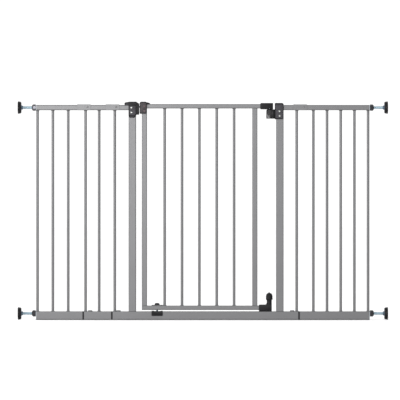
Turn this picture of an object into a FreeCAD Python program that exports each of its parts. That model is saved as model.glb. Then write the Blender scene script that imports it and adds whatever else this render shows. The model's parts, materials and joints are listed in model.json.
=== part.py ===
import FreeCAD, Part
import os
import re
import Sketcher

# A pressure-mounted walk-through safety gate: a main frame with a lift-and-swing door,
# two extension panels on the left, one on the right, and four screw-out wall supports.
# Millimetres, +Z up, +X to the right, the front faces -Y, origin on the floor in the middle.

SIZES = {
    # the frame's tubes
    "rail_height": 29,
    "rail_depth": 25,
    "frame_top": 742.5,
    "top_rail_height": 18,
    "top_rail_depth": 20,
    "post_width": 26,
    "tube_wall": 1.2,
    "tube_corner": 3,
    "bar_diameter": 9.5,
    "bar_wall": 0.8,
    # where the frame's pieces stand along X
    "gate_half_length": 575.5,
    "main_left": -311.7,
    "main_right": 329.4,
    "inner_panel_left": -410.5,
    "joint_gap": 5.5,
    "latch_post_x": -243.6,
    "hinge_post_x": 266,
    "main_left_bar_x": -304.5,
    "main_right_bar_x": 324.5,
    "outer_bar_x": -571.5,
    "outer_bar_pitch": 53,
    "inner_bar_x": -405.5,
    "inner_bar_pitch": 47,
    "right_bar_x": 382,
    "right_bar_pitch": 47.3,
    # the door
    "door_bottom": 34,
    "door_top": 745.5,
    "door_rail_height": 15,
    "door_depth": 18,
    "door_latch_x": -201.9,
    "door_hinge_x": 179.6,
    "door_rail_right": 212,
    "door_bar_x": -132,
    "door_bar_pitch": 60,
    # the hinges
    "hinge_x": 229.5,
    "hinge_pin_diameter": 8,
    "running_gap": 0.05,
    "hinge_pin_top": 88,
    "bush_flats": 13,
    "bush_top": 66,
    "socket_flats": 13.16,
    "base_thickness": 2.5,
    "arm_gap": 0.3,
    "arm_top": 52.4,
    "arm_depth": 22,
    "arm_left": 193.5,
    "tower_radius": 8.8,
    "tower_top": 68.3,
    "cap_radius": 12,
    "cap_top": 94.9,
    "cap_wall": 2,
    "hinge_coil_radius": 5.2,
    "hinge_coil_wire": 1.2,
    "hinge_coil_pitch": 1.5,
    "hinge_coil_length": 18,
    "lug_radius": 10.5,
    "lug_bottom": 695.2,
    "lug_top": 727.2,
    "top_arm_left": 198,
    "top_arm_right": 242.7,
    "housing_top": 753.7,
    "housing_bottom": 698.3,
    "bracket_top": 749.2,
    "bracket_left": 248.8,
    "bracket_bottom": 693,
    "hinge_screw_x": 265,
    "hinge_screw_low": 704.2,
    "hinge_screw_high": 720.5,
    # the latch
    "plate_thickness": 3,
    "mouth_right": -220.1,
    "mouth_bottom": 709,
    "handle_left": -218.4,
    "handle_right": -193.1,
    "handle_bottom": 712,
    "handle_depth": 30,
    "tongue_tip": -227.5,
    "tongue_bottom": 733,
    "tongue_height": 6.5,
    "tongue_width": 9,
    "bolt_back": -160,
    "bolt_width": 12,
    "bolt_height": 11.2,
    "slide_left": -206,
    "slide_right": -182.4,
    "slide_top": 749.4,
    "slide_width": 13.4,
    "stem_left": -203,
    "stem_right": -196,
    "latch_screw_x": -246.7,
    "latch_screw_low": 716.3,
    "latch_screw_high": 733,
    "handle_screw_x": -202.1,
    "handle_screw_low": 721.5,
    "handle_screw_high": 738.1,
    "latch_coil_radius": 4.6,
    "latch_coil_wire": 1,
    "latch_coil_pitch": 2.6,
    "latch_coil_length": 27,
    "seat_width": 15.2,
    "seat_length": 5.7,
    # the lock at the foot of the door
    "lock_x": -158,
    "lock_pin_diameter": 6,
    "lock_pin_bottom": 25,
    "lock_pin_length": 31,
    "pin_plate_half_length": 19.5,
    "pin_plate_width": 16,
    "pin_plate_thickness": 2.5,
    "knob_radius": 8.8,
    "knob_height": 6.8,
    "lock_hole": 10,
    "keeper_half_length": 19.4,
    "keeper_bottom": 13.7,
    "keeper_rise": 1.9,
    "keeper_wall": 2.5,
    # the joints between the panels
    "spigot_reach": 22,
    "spigot_gap": 0.25,
    "sleeve_half_length": 23,
    "sleeve_wall": 1.8,
    "sleeve_screw_z": 735,
    "sleeve_screw_shift": 13,
    "joint_cap_radius": 8,
    "joint_cap_height": 4.4,
    # the wall supports
    "rod_diameter": 10,
    "rod_inner_end": 500,
    "rod_outer_end": 631,
    "top_rod_z": 733.5,
    "bottom_rod_z": 22,
    "guide_flange": 1.5,
    "guide_plug": 20,
    "guide_bore": 10.16,
    "nut_face": 577.5,
    "nut_length": 13,
    "nut_flats": 19,
    "nut_bore": 10.16,
    "wall_face": 639.6,
    "cup_depth": 12,
    "cup_radius": 21.5,
    "cup_screw_hole": 4.6,
    "foot_radius": 14.5,
    "foot_length": 17.5,
    "foot_gap": 0.3,
    # fasteners
    "screw_diameter": 3.5,
    "screw_head": 6.5,
    "screw_head_height": 1.8,
}

# sizes that follow from the ones above
DERIVED = {
    "top_rail_z": "(frame_top - top_rail_height)",
    "post_half": "(post_width / 2)",
    "door_stile_low": "(door_bottom + door_rail_height)",
    "door_stile_high": "(door_top - door_rail_height)",
    "door_rail_left": "(door_latch_x - door_depth / 2)",
    "plate_front": "(rail_depth / 2 + plate_thickness)",
    "latch_post_left": "(latch_post_x - post_width / 2)",
    "latch_post_right": "(latch_post_x + post_width / 2)",
    "hinge_post_left": "(hinge_post_x - post_width / 2)",
    "hinge_post_right": "(hinge_post_x + post_width / 2)",
    "arm_bottom": "(rail_height + base_thickness + arm_gap)",
    "outer_panel_right": "(inner_panel_left - joint_gap)",
    "inner_panel_right": "(main_left - joint_gap)",
    "right_panel_left": "(main_right + joint_gap)",
}

doc = FreeCAD.newDocument("safety_gate")
dims = doc.addObject("Spreadsheet::Sheet", "dims")
for row, (alias, size) in enumerate(SIZES.items(), start=1):
    dims.set("A%d" % row, alias.replace("_", " "))
    dims.set("B%d" % row, str(size))
    dims.setAlias("B%d" % row, alias)
doc.recompute()

nodes = []


# --- formulas and bindings -------------------------------------------------------------

def formula(text):
    """The text with derived sizes written out and every alias read from the sheet."""
    def spelled(match):
        word = match.group(0)
        if word in DERIVED:
            return formula(DERIVED[word])
        return "dims." + word if word in SIZES else word
    return re.sub(r"[a-z_]+", spelled, str(text))


def number(text):
    return float(dims.evalExpression(formula(text)))


def bind(thing, **properties):
    """Binds Length="post_width" and so on; place() does the same for the position."""
    for name, text in properties.items():
        thing.setExpression(name, formula(text))


def place(thing, x=0, y=0, z=0):
    for axis, text in (("x", x), ("y", y), ("z", z)):
        thing.setExpression("Placement.Base." + axis, formula(text))


def node(thing, label):
    """Marks a finished sub-part: its label is its name and its file's name."""
    thing.Label = label
    nodes.append(thing)
    return thing


# --- plain shapes -----------------------------------------------------------------------

def box(name, x, y, z):
    """A box over three (low, high) spans."""
    thing = doc.addObject("Part::Box", name)
    bind(thing, Length="(%s) - (%s)" % (x[1], x[0]), Width="(%s) - (%s)" % (y[1], y[0]),
         Height="(%s) - (%s)" % (z[1], z[0]))
    place(thing, x[0], y[0], z[0])
    return thing


def rod(name, axis, start, length, diameter):
    """A round rod from its start point along +X, +Y or +Z."""
    turns = {"x": FreeCAD.Rotation(FreeCAD.Vector(0, 1, 0), 90),
             "y": FreeCAD.Rotation(FreeCAD.Vector(1, 0, 0), -90),
             "z": FreeCAD.Rotation()}
    thing = doc.addObject("Part::Cylinder", name)
    thing.Placement.Rotation = turns[axis]
    bind(thing, Radius="(%s) / 2" % diameter, Height=length)
    place(thing, *start)
    return thing


def joined(name, pieces):
    thing = doc.addObject("Part::MultiFuse", name)
    thing.Shapes = pieces
    return thing


def group(name, pieces):
    thing = doc.addObject("Part::Compound", name)
    thing.Links = pieces
    return thing


def cut(name, base, tools):
    thing = doc.addObject("Part::Cut", name)
    thing.Base = base
    thing.Tool = tools[0] if len(tools) == 1 else group(name + "_tools", tools)
    return thing


def rounded(name, base, radius, chosen, feature="Part::Fillet"):
    """Fillets or chamfers the edges of base that chosen(edge) picks."""
    doc.recompute()
    thing = doc.addObject(feature, name)
    thing.Base = base
    picked = [index for index, edge in enumerate(base.Shape.Edges, start=1) if chosen(edge)]
    thing.Edges = [(index, radius, radius) for index in picked]
    return thing


def along(axis):
    """Chooses straight edges that run along one axis."""
    def chosen(edge):
        ends = edge.Vertexes
        if len(ends) != 2 or edge.Curve.TypeId != "Part::GeomLine":
            return False
        run = ends[1].Point - ends[0].Point
        return abs(abs(getattr(run, axis)) - run.Length) < 1e-6
    return chosen


# --- bodies from sketches ---------------------------------------------------------------

def sketch_on(body, plane, offset=0):
    sketch = body.newObject("Sketcher::SketchObject", body.Name + "_sketch")
    planes = {feature.Role: feature for feature in body.Origin.OriginFeatures}
    sketch.AttachmentSupport = [(planes[plane], "")]
    sketch.MapMode = "FlatFace"
    sketch.setExpression("AttachmentOffset.Base.z", formula(offset))
    return sketch


def outline(sketch, points):
    """A closed outline of straight lines whose corners are bound to the sheet."""
    first = sketch.GeometryCount
    corners = [FreeCAD.Vector(number(u), number(v), 0) for u, v in points]
    for index, corner in enumerate(corners):
        sketch.addGeometry(Part.LineSegment(corner, corners[(index + 1) % len(corners)]), False)
    for index in range(len(points)):
        following = first + (index + 1) % len(points)
        sketch.addConstraint(Sketcher.Constraint("Coincident", first + index, 2, following, 1))
    for index, (u, v) in enumerate(points):
        for kind, text in (("DistanceX", u), ("DistanceY", v)):
            held = sketch.addConstraint(
                Sketcher.Constraint(kind, -1, 1, first + index, 1, number(text)))
            sketch.setExpression("Constraints[%d]" % held, formula(text))


def rectangle(sketch, u, v):
    outline(sketch, [(u[0], v[0]), (u[1], v[0]), (u[1], v[1]), (u[0], v[1])])


def hexagon(sketch, flats):
    """A hexagon about the sketch's origin; flats is the distance across them."""
    corner = "(%s) / 1.7320508" % flats
    outline(sketch, [("%s * %s" % (corner, side), "(%s) * %s / 2" % (flats, up))
                     for side, up in ((1, 0), (0.5, 1), (-0.5, 1), (-1, 0), (-0.5, -1), (0.5, -1))])


def pad(body, sketch, length, symmetric=False):
    feature = body.newObject("PartDesign::Pad", body.Name + "_pad")
    feature.Profile = (sketch, [""])
    if symmetric:
        feature.SideType = "Symmetric"
    bind(feature, Length=length)
    return feature


def soften(body, feature, radius, chosen):
    """A fillet feature on the edges of the body's last feature."""
    doc.recompute()
    names = ["Edge%d" % index for index, edge in enumerate(feature.Shape.Edges, start=1)
             if chosen(edge)]
    fillet = body.newObject("PartDesign::Fillet", body.Name + "_fillet")
    fillet.Base = (feature, names)
    bind(fillet, Radius=radius)
    return fillet


def square_tube(name, axis, span, across, height, wall="tube_wall"):
    """A square tube along x or z. across and height are its two other (low, high) spans."""
    body = doc.addObject("PartDesign::Body", name)
    plane = {"x": "YZ_Plane", "z": "XY_Plane"}[axis]
    sketch = sketch_on(body, plane, span[0])
    rectangle(sketch, across, height)
    inner_across = ("(%s) + %s" % (across[0], wall), "(%s) - %s" % (across[1], wall))
    inner_height = ("(%s) + %s" % (height[0], wall), "(%s) - %s" % (height[1], wall))
    rectangle(sketch, inner_across, inner_height)
    feature = pad(body, sketch, "(%s) - (%s)" % (span[1], span[0]))
    limits = [number(text) for text in across]
    side = {"x": "Y", "z": "X"}[axis]

    def outer(edge):
        reached = getattr(edge.Vertexes[0], side)
        return along(axis)(edge) and min(abs(reached - limit) for limit in limits) < 1e-6
    soften(body, feature, "tube_corner", outer)
    return body


def prism(name, points, depth, radius=0, chosen=None):
    """An outline in the XZ plane, padded evenly to both sides of the gate's middle."""
    body = doc.addObject("PartDesign::Body", name)
    sketch = sketch_on(body, "XZ_Plane")
    outline(sketch, points)
    feature = pad(body, sketch, depth, symmetric=True)
    if radius:
        soften(body, feature, radius, chosen)
    return body


def turned(name, points, upright=False):
    """A profile turned about X (points are distance along, radius) or about Z (radius, height)."""
    body = doc.addObject("PartDesign::Body", name)
    sketch = sketch_on(body, "XZ_Plane")
    outline(sketch, points)
    feature = body.newObject("PartDesign::Revolution", name + "_turn")
    feature.Profile = (sketch, [""])
    feature.ReferenceAxis = (sketch, ["V_Axis" if upright else "H_Axis"])
    feature.Angle = 360
    return body


def round_bars(label, x_places, low, high):
    """A row of round tubes that stand between two rails."""
    bars = []
    for index, x in enumerate(x_places, start=1):
        name = "%s_%d" % (label, index)
        length = "(%s) - (%s)" % (high, low)
        outer = rod(name + "_outer", "z", (x, 0, low), length, "bar_diameter")
        inner = rod(name + "_inner", "z", (x, 0, low), length, "bar_diameter - 2 * bar_wall")
        bars.append(cut(name, outer, [inner]))
    return node(group(label + "_group", bars), label)


def turn_to(thing, axis, degrees):
    thing.Placement.Rotation = FreeCAD.Rotation(axis, degrees)


def pan_screw(name, x, z, face, reach):
    """A pan-head screw driven in from the front: face is the plate's Y, reach its length."""
    profile = [("0", "-(%s)" % reach), ("screw_diameter / 2", "-(%s)" % reach),
               ("screw_diameter / 2", "0"), ("screw_head / 2", "0"),
               ("screw_head / 2", "screw_head_height / 2"),
               ("screw_head / 2 - 1.2", "screw_head_height"), ("0", "screw_head_height")]
    screw = turned(name, profile, upright=True)
    turn_to(screw, FreeCAD.Vector(1, 0, 0), 90)
    place(screw, x, face, z)
    return screw


def screw_hole(name, x, z, face, reach):
    return rod(name, "y", (x, "(%s) - 1" % face, z), "(%s) + 1" % reach, "screw_diameter")


# --- the main frame ---------------------------------------------------------------------

half_rail = ("-rail_depth / 2", "rail_depth / 2")
half_top_rail = ("-top_rail_depth / 2", "top_rail_depth / 2")
rail_span = ("0", "rail_height")
top_rail_span = ("top_rail_z", "frame_top")

main_rail = square_tube("main_rail_tube", "x", ("main_left", "main_right"), half_rail, rail_span)
lock_hole = rod("rail_lock_hole", "z", ("lock_x", 0, "rail_height - 3"), "6", "lock_hole")
hinge_hole = rod("rail_hinge_hole", "z", ("hinge_x", 0, "rail_height - 3"), "6",
                 "hinge_pin_diameter")
node(cut("main_rail_drilled", main_rail, [lock_hole, hinge_hole]), "main_bottom_rail")

latch_screws_z = ("latch_screw_high", "latch_screw_low")
hinge_screws_z = ("hinge_screw_high", "hinge_screw_low")
housing_face = "-plate_front"
screw_reach = "plate_thickness + 4"


def post(label, x, screw_x, screw_heights):
    """A square post that stands on the bottom rail, drilled for its bracket's screws."""
    across = ("%s - post_half" % x, "%s + post_half" % x)
    tube = square_tube(label + "_tube", "z", ("rail_height", "frame_top"), across, half_rail)
    holes = [screw_hole("%s_hole_%d" % (label, index), screw_x, z, housing_face, screw_reach)
             for index, z in enumerate(screw_heights, start=1)]
    node(cut(label + "_drilled", tube, holes), label)


post("latch_post", "latch_post_x", "latch_screw_x", latch_screws_z)
post("hinge_post", "hinge_post_x", "hinge_screw_x", hinge_screws_z)

main_top_left = square_tube("main_top_left", "x", ("main_left", "latch_post_left"),
                            half_top_rail, top_rail_span)
main_top_right = square_tube("main_top_right", "x", ("hinge_post_right", "main_right"),
                             half_top_rail, top_rail_span)
node(group("main_top_pair", [main_top_left, main_top_right]), "main_top_rails")
round_bars("main_side_bars", ["main_left_bar_x", "main_right_bar_x"], "rail_height", "top_rail_z")

# the latch housing: a cap over the latch post with a plate on each side of it, and a mouth
# on the door side that the tongue of the bolt enters
housing_outline = [
    ("latch_post_left - 14.3", "frame_top"), ("latch_post_left - 14.3", "frame_top + 5"),
    ("latch_post_left - 11", "frame_top + 8.2"), ("latch_post_left", "frame_top + 8.7"),
    ("latch_post_left + 3.5", "housing_top"), ("latch_post_right + 1.5", "housing_top"),
    ("mouth_right", "housing_top - 4.8"), ("mouth_right", "mouth_bottom"),
    ("latch_post_right", "mouth_bottom"), ("latch_post_right - 5", "housing_bottom"),
    ("latch_post_left + 2", "housing_bottom"), ("latch_post_left", "housing_bottom + 2.2"),
    ("latch_post_left", "frame_top")]
housing_body = prism("latch_housing_body", housing_outline, "2 * plate_front", "1.2",
                     lambda edge: not along("y")(edge))
housing_cuts = [
    box("housing_post_space", ("latch_post_left - 1", "latch_post_right"), half_rail,
        ("housing_bottom - 1", "frame_top")),
    box("housing_mouth", ("latch_post_right + 1.6", "mouth_right + 1"), ("-6", "6"),
        ("tongue_bottom - 0.6", "tongue_bottom + tongue_height + 8.2"))]
housing_cuts += [screw_hole("housing_hole_%d" % index, "latch_screw_x", z, housing_face,
                            screw_reach) for index, z in enumerate(latch_screws_z, start=1)]
node(cut("latch_housing_cut", housing_body, housing_cuts), "latch_housing")

# the top hinge bracket: a cap over the hinge post with a lug that carries the door's pin
bracket_outline = [
    ("bracket_left", "bracket_bottom"), ("hinge_post_right", "bracket_bottom"),
    ("hinge_post_right", "bracket_top - 4"), ("hinge_post_right - 4", "bracket_top"),
    ("bracket_left + 1", "bracket_top"), ("bracket_left", "bracket_top - 1")]
bracket_body = prism("hinge_bracket_body", bracket_outline, "2 * plate_front", "1.2",
                     lambda edge: not along("y")(edge))
lug_barrel = rod("lug_barrel", "z", ("hinge_x", 0, "lug_bottom"), "lug_top - lug_bottom",
                 "2 * lug_radius")
lug_web = box("lug_web", ("hinge_x", "bracket_left + 1"), ("-8", "8"), ("lug_bottom", "lug_top"))
bracket_solid = joined("hinge_bracket_solid", [bracket_body, lug_barrel, lug_web])
bracket_cuts = [
    box("bracket_post_space", ("hinge_post_left", "hinge_post_right + 1"), half_rail,
        ("bracket_bottom - 1", "frame_top")),
    rod("lug_bore", "z", ("hinge_x", 0, "lug_bottom - 1"), "lug_top - lug_bottom + 2",
        "hinge_pin_diameter + 2 * running_gap")]
bracket_cuts += [screw_hole("bracket_hole_%d" % index, "hinge_screw_x", z, housing_face,
                            screw_reach) for index, z in enumerate(hinge_screws_z, start=1)]
node(cut("hinge_bracket_cut", bracket_solid, bracket_cuts), "hinge_bracket")

bracket_screws = [
    pan_screw("%s_%d" % (x, index), x, z, housing_face, screw_reach)
    for x, heights in (("latch_screw_x", latch_screws_z), ("hinge_screw_x", hinge_screws_z))
    for index, z in enumerate(heights, start=1)]
node(group("bracket_screw_set", bracket_screws), "bracket_screws")

# the bottom hinge: a base plate and a pin that stand on the rail
base_plate = box("base_plate", ("arm_left", "hinge_x + tower_radius"),
                 ("-arm_depth / 2", "arm_depth / 2"),
                 ("rail_height", "rail_height + base_thickness"))
base_rounded = rounded("base_plate_rounded", base_plate, 4, along("z"))
base_hole = rod("base_hole", "z", ("hinge_x", 0, "rail_height - 1"), "base_thickness + 2",
                "hinge_pin_diameter")
node(cut("base_drilled", base_rounded, [base_hole]), "bottom_hinge_base")

pin_radius = "hinge_pin_diameter / 2"
rail_roof = "(rail_height - tube_wall)"
pin_outline = [("0", "%s - 3" % rail_roof), ("7", "%s - 3" % rail_roof), ("7", rail_roof),
               (pin_radius, rail_roof), (pin_radius, "hinge_pin_top - 1"),
               ("%s - 1" % pin_radius, "hinge_pin_top"), ("0", "hinge_pin_top")]
bottom_pin = turned("bottom_pin", pin_outline, upright=True)
place(bottom_pin, "hinge_x")
node(bottom_pin, "bottom_hinge_pin")


def hexagonal(name, flats, low, high):
    body = doc.addObject("PartDesign::Body", name)
    sketch = sketch_on(body, "XY_Plane")
    hexagon(sketch, flats)
    pad(body, sketch, "(%s) - (%s)" % (high, low))
    place(body, "hinge_x", 0, low)
    return body


bush_bottom = "(rail_height + base_thickness + 0.05)"
bush_hex = hexagonal("bush_hex", "bush_flats", bush_bottom, "bush_top")
bush_bore = rod("bush_bore", "z", ("hinge_x", 0, "rail_height"), "bush_top",
                "hinge_pin_diameter + 2 * running_gap")
node(cut("bush_bored", bush_hex, [bush_bore]), "hinge_bush")

# the keeper saddled on the bottom rail, which the lock pin drops into
keeper_left = "(lock_x - keeper_half_length)"
keeper_right = "(lock_x + keeper_half_length)"
keeper_top = "(rail_height + keeper_rise)"
keeper_outline = [
    (keeper_left, "keeper_bottom"), (keeper_right, "keeper_bottom"),
    (keeper_right, "%s - 1.2" % keeper_top), ("%s - 1.5" % keeper_right, keeper_top),
    ("lock_x + 13", keeper_top), ("lock_x + 10", "%s - 1" % keeper_top),
    ("lock_x - 10", "%s - 1" % keeper_top), ("lock_x - 13", keeper_top),
    ("%s + 1.5" % keeper_left, keeper_top), (keeper_left, "%s - 1.2" % keeper_top)]
keeper_body = prism("lock_keeper_body", keeper_outline, "rail_depth + 2 * keeper_wall", "0.8",
                    lambda edge: not along("y")(edge))
keeper_space = box("keeper_rail_space", ("%s - 1" % keeper_left, "%s + 1" % keeper_right),
                   half_rail, ("0", "rail_height"))
keeper_hole = rod("keeper_hole", "z", ("lock_x", 0, "rail_height - 1"), "6", "lock_hole")
node(cut("lock_keeper_cut", keeper_body, [keeper_space, keeper_hole]), "lock_keeper")

# --- the extension panels -----------------------------------------------------------------

PANELS = (("left_outer", "-gate_half_length", "outer_panel_right", "outer_bar_x",
           "outer_bar_pitch", 3),
          ("left_inner", "inner_panel_left", "inner_panel_right", "inner_bar_x",
           "inner_bar_pitch", 2),
          ("right", "right_panel_left", "gate_half_length", "right_bar_x",
           "right_bar_pitch", 5))

for side, left, right, first_bar, pitch, bar_count in PANELS:
    span = (left, right)
    node(square_tube(side + "_bottom_tube", "x", span, half_rail, rail_span),
         side + "_bottom_rail")
    node(square_tube(side + "_top_tube", "x", span, half_top_rail, top_rail_span),
         side + "_top_rail")
    round_bars(side + "_bars", ["%s + %d * %s" % (first_bar, index, pitch)
                                for index in range(bar_count)], "rail_height", "top_rail_z")

# a spacer with a spigot on each side joins two rails; a channel and a screw hold the top pair
JOINTS = ("inner_panel_left - joint_gap / 2", "main_left - joint_gap / 2",
          "main_right + joint_gap / 2")


def inside(span):
    """The span of a plug that fits inside a square tube."""
    return ("(%s) + tube_wall + spigot_gap" % span[0], "(%s) - tube_wall - spigot_gap" % span[1])


spacers = []
for index, middle in enumerate(JOINTS, start=1):
    for level, across, height in (("low", half_rail, rail_span),
                                  ("high", half_top_rail, top_rail_span)):
        name = "spacer_%d_%s" % (index, level)
        flange = box(name + "_flange", ("%s - joint_gap / 2" % middle, "%s + joint_gap / 2" % middle),
                     across, height)
        spigot = box(name + "_spigot", ("%s - spigot_reach" % middle, "%s + spigot_reach" % middle),
                     inside(across), inside(height))
        spacers.append(joined(name, [flange, rounded(name + "_nose", spigot, 1, along("x"))]))
node(group("spacer_set", spacers), "joint_spacers")

sleeve_side = "(top_rail_depth / 2 + sleeve_wall)"
sleeves = []
fasteners = []
for index, middle in enumerate(JOINTS, start=1):
    centre = "%s %s" % (middle, "+ 3.9" if index == 3 else "+ 2")
    span = ("%s - sleeve_half_length" % centre, "%s + sleeve_half_length" % centre)
    name = "sleeve_%d" % index
    shell = box(name + "_outer", span, ("-%s" % sleeve_side, sleeve_side),
                ("top_rail_z", "frame_top + sleeve_wall"))
    shell = rounded(name + "_rounded", shell, 1.5, along("x"))
    space = box(name + "_space", ("%s - 1" % span[0], "%s + 1" % span[1]), half_top_rail,
                ("top_rail_z - 1", "frame_top"))
    screw_x = "%s + sleeve_screw_shift" % centre
    face = "-%s" % sleeve_side
    hole = screw_hole(name + "_hole", screw_x, "sleeve_screw_z", face, "sleeve_wall + 1")
    sleeves.append(cut(name + "_channel", shell, [space, hole]))
    fasteners.append(pan_screw("sleeve_screw_%d" % index, screw_x, "sleeve_screw_z", face,
                               "sleeve_wall"))
node(group("sleeve_set", sleeves), "joint_sleeves")

# each joint's lower rail is held by a bolt whose low round cap shows on top of the rail
for index, x in enumerate(("inner_panel_left + 21", "main_left + 20", "main_right - 20.6"), start=1):
    bolt_outline = [("0", "0"), ("joint_cap_radius", "0"), ("joint_cap_radius", "1.6"),
                    ("joint_cap_radius - 2.5", "joint_cap_height - 0.4"),
                    ("0", "joint_cap_height")]
    bolt_cap = turned("joint_bolt_%d" % index, bolt_outline, upright=True)
    place(bolt_cap, x, 0, "rail_height")
    fasteners.append(bolt_cap)
node(group("joint_fastener_set", fasteners), "joint_screws")

# --- the wall supports ---------------------------------------------------------------------

guides = []
for level, across, height, rod_z in (("low", half_rail, rail_span, "bottom_rod_z"),
                                     ("high", half_top_rail, top_rail_span, "top_rod_z")):
    for side, sign in (("left", "-"), ("right", "")):
        name = "guide_%s_%s" % (level, side)
        ends = sorted(("%sgate_half_length" % sign,
                       "%s(gate_half_length + guide_flange)" % sign), key=number)
        flange = box(name + "_flange", ends, across, height)
        ends = sorted(("%sgate_half_length" % sign,
                       "%s(gate_half_length - guide_plug)" % sign), key=number)
        plug = box(name + "_plug", ends, inside(across), inside(height))
        start = "-(gate_half_length + 3)" if sign else "gate_half_length - guide_plug - 3"
        bore = rod(name + "_bore", "x", (start, 0, rod_z), "guide_plug + 6", "guide_bore")
        guides.append(cut(name, joined(name + "_solid", [flange, plug]), [bore]))
node(group("guide_set", guides), "spindle_guides")

rod_radius = "rod_diameter / 2"
spindle_outline = [
    ("rod_inner_end", "0"), ("rod_inner_end", "%s - 1" % rod_radius),
    ("rod_inner_end + 1", rod_radius), ("rod_outer_end", rod_radius), ("rod_outer_end", "0")]
foot_outline = [
    ("wall_face - foot_length", rod_radius), ("wall_face - foot_length", "%s + 1.2" % rod_radius),
    ("wall_face - 12.2", "9"), ("wall_face - 11.4", "9"), ("wall_face - 11.4", "foot_radius"),
    ("wall_face - 3", "foot_radius"), ("wall_face - 3", "5"), ("wall_face - 5", "5"),
    ("wall_face - 5", "0"), ("rod_outer_end", "0"), ("rod_outer_end", rod_radius)]
cup_outline = [
    ("wall_face - cup_depth", "foot_radius + foot_gap"),
    ("wall_face - cup_depth", "cup_radius - 3.5"),
    ("wall_face - cup_depth + 1", "cup_radius - 2.3"), ("wall_face - 5", "cup_radius - 0.6"),
    ("wall_face - 3", "cup_radius"), ("wall_face", "cup_radius"),
    ("wall_face", "cup_screw_hole / 2"), ("wall_face - 3", "cup_screw_hole / 2"),
    ("wall_face - 3", "foot_radius + foot_gap")]


def adjuster_nut(name):
    """A long hexagon nut whose ends are turned to a chamfer, with a shoulder at the rail."""
    blank = doc.addObject("PartDesign::Body", name + "_blank")
    sketch = sketch_on(blank, "YZ_Plane", "nut_face")
    hexagon(sketch, "nut_flats")
    pad(blank, sketch, "nut_length")
    envelope = turned(name + "_envelope", [
        ("nut_face", "nut_bore / 2"), ("nut_face", "nut_flats / 2"), ("nut_face + 1.2", "nut_flats"),
        ("nut_face + nut_length - 2.4", "nut_flats"),
        ("nut_face + nut_length", "nut_flats / 2 - 0.9"), ("nut_face + nut_length", "nut_bore / 2")])
    nut = doc.addObject("Part::Common", name)
    nut.Base = blank
    nut.Tool = envelope
    return nut


for level, rod_z in (("top", "top_rod_z"), ("bottom", "bottom_rod_z")):
    for side, degrees in (("left", 180), ("right", 0)):
        corner = "%s_%s" % (level, side)
        pieces = {"spindle": turned(corner + "_rod", spindle_outline),
                  "spindle_foot": turned(corner + "_foot", foot_outline),
                  "wall_cup": turned(corner + "_cup", cup_outline),
                  "adjuster_nut": adjuster_nut(corner + "_nut")}
        for piece, support in pieces.items():
            turn_to(support, FreeCAD.Vector(0, 0, 1), degrees)
            place(support, 0, 0, rod_z)
            node(support, "%s_%s" % (corner, piece))

# --- the door -------------------------------------------------------------------------------

half_door = ("-door_depth / 2", "door_depth / 2")
low_rail = square_tube("door_low_tube", "x", ("door_rail_left", "door_rail_right"), half_door,
                       ("door_bottom", "door_stile_low"))
pin_hole = rod("door_pin_hole", "z", ("lock_x", 0, "door_bottom - 1"), "door_rail_height + 2",
               "lock_pin_diameter")
node(cut("door_low_drilled", low_rail, [pin_hole]), "door_bottom_rail")

handle_screws_z = ("handle_screw_high", "handle_screw_low")
handle_face = "-handle_depth / 2"
handle_reach = "(handle_depth - door_depth) / 2 + 1.6"
door_screw_holes = [screw_hole("door_screw_hole_%d" % index, "handle_screw_x", z, handle_face,
                               handle_reach) for index, z in enumerate(handle_screws_z, start=1)]
high_rail = square_tube("door_high_tube", "x", ("door_rail_left", "door_rail_right + 2"),
                        half_door, ("door_stile_high", "door_top"))
slide_slot = box("slide_slot", ("stem_left - 4", "stem_right + 11"), ("-3", "3"),
                 ("door_top - 3", "door_top + 1"))
node(cut("door_high_cut", high_rail, [slide_slot, door_screw_holes[0]]), "door_top_rail")

for label, x, holes in (("door_latch_stile", "door_latch_x", [door_screw_holes[1]]),
                        ("door_hinge_stile", "door_hinge_x", [])):
    stile = square_tube(label + "_tube", "z", ("door_stile_low", "door_stile_high"),
                        ("%s - door_depth / 2" % x, "%s + door_depth / 2" % x), half_door)
    node(cut(label + "_drilled", stile, holes) if holes else stile, label)
round_bars("door_bars", ["door_bar_x + %d * door_bar_pitch" % index for index in range(5)],
           "door_stile_low", "door_stile_high")

# the handle: two shells' worth of grip over the door's top corner, with a tunnel for the slide
handle_outline = [
    ("handle_left", "handle_bottom"), ("handle_right - 4", "handle_bottom"),
    ("handle_right", "handle_bottom + 4"), ("handle_right", "housing_top - 2.2"),
    ("handle_right - 2.2", "housing_top"), ("handle_left + 2", "housing_top"),
    ("handle_left", "housing_top - 2")]
handle_solid = prism("handle_solid", handle_outline, "handle_depth", "1.5",
                     lambda edge: not along("y")(edge))
handle_cuts = [
    box("handle_rail_space", ("door_rail_left", "handle_right + 1"), half_door,
        ("handle_bottom - 1", "door_top")),
    box("handle_tongue_window", ("handle_left - 1", "door_rail_left + 1"),
        ("-tongue_width / 2 - 0.2", "tongue_width / 2 + 0.2"),
        ("tongue_bottom - 0.2", "tongue_bottom + tongue_height + 0.2")),
    box("handle_slide_tunnel", ("slide_left - 3.3", "handle_right + 1"),
        ("-slide_width / 2 - 0.6", "slide_width / 2 + 0.6"), ("door_top - 1", "slide_top + 0.3"))]
handle_cuts += [screw_hole("handle_hole_%d" % index, "handle_screw_x", z, handle_face,
                           handle_reach) for index, z in enumerate(handle_screws_z, start=1)]
node(cut("handle_cut", handle_solid, handle_cuts), "handle_body")
node(group("handle_screw_set", [
    pan_screw("handle_screw_%d" % index, "handle_screw_x", z, handle_face, handle_reach)
    for index, z in enumerate(handle_screws_z, start=1)]), "handle_screws")

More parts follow.
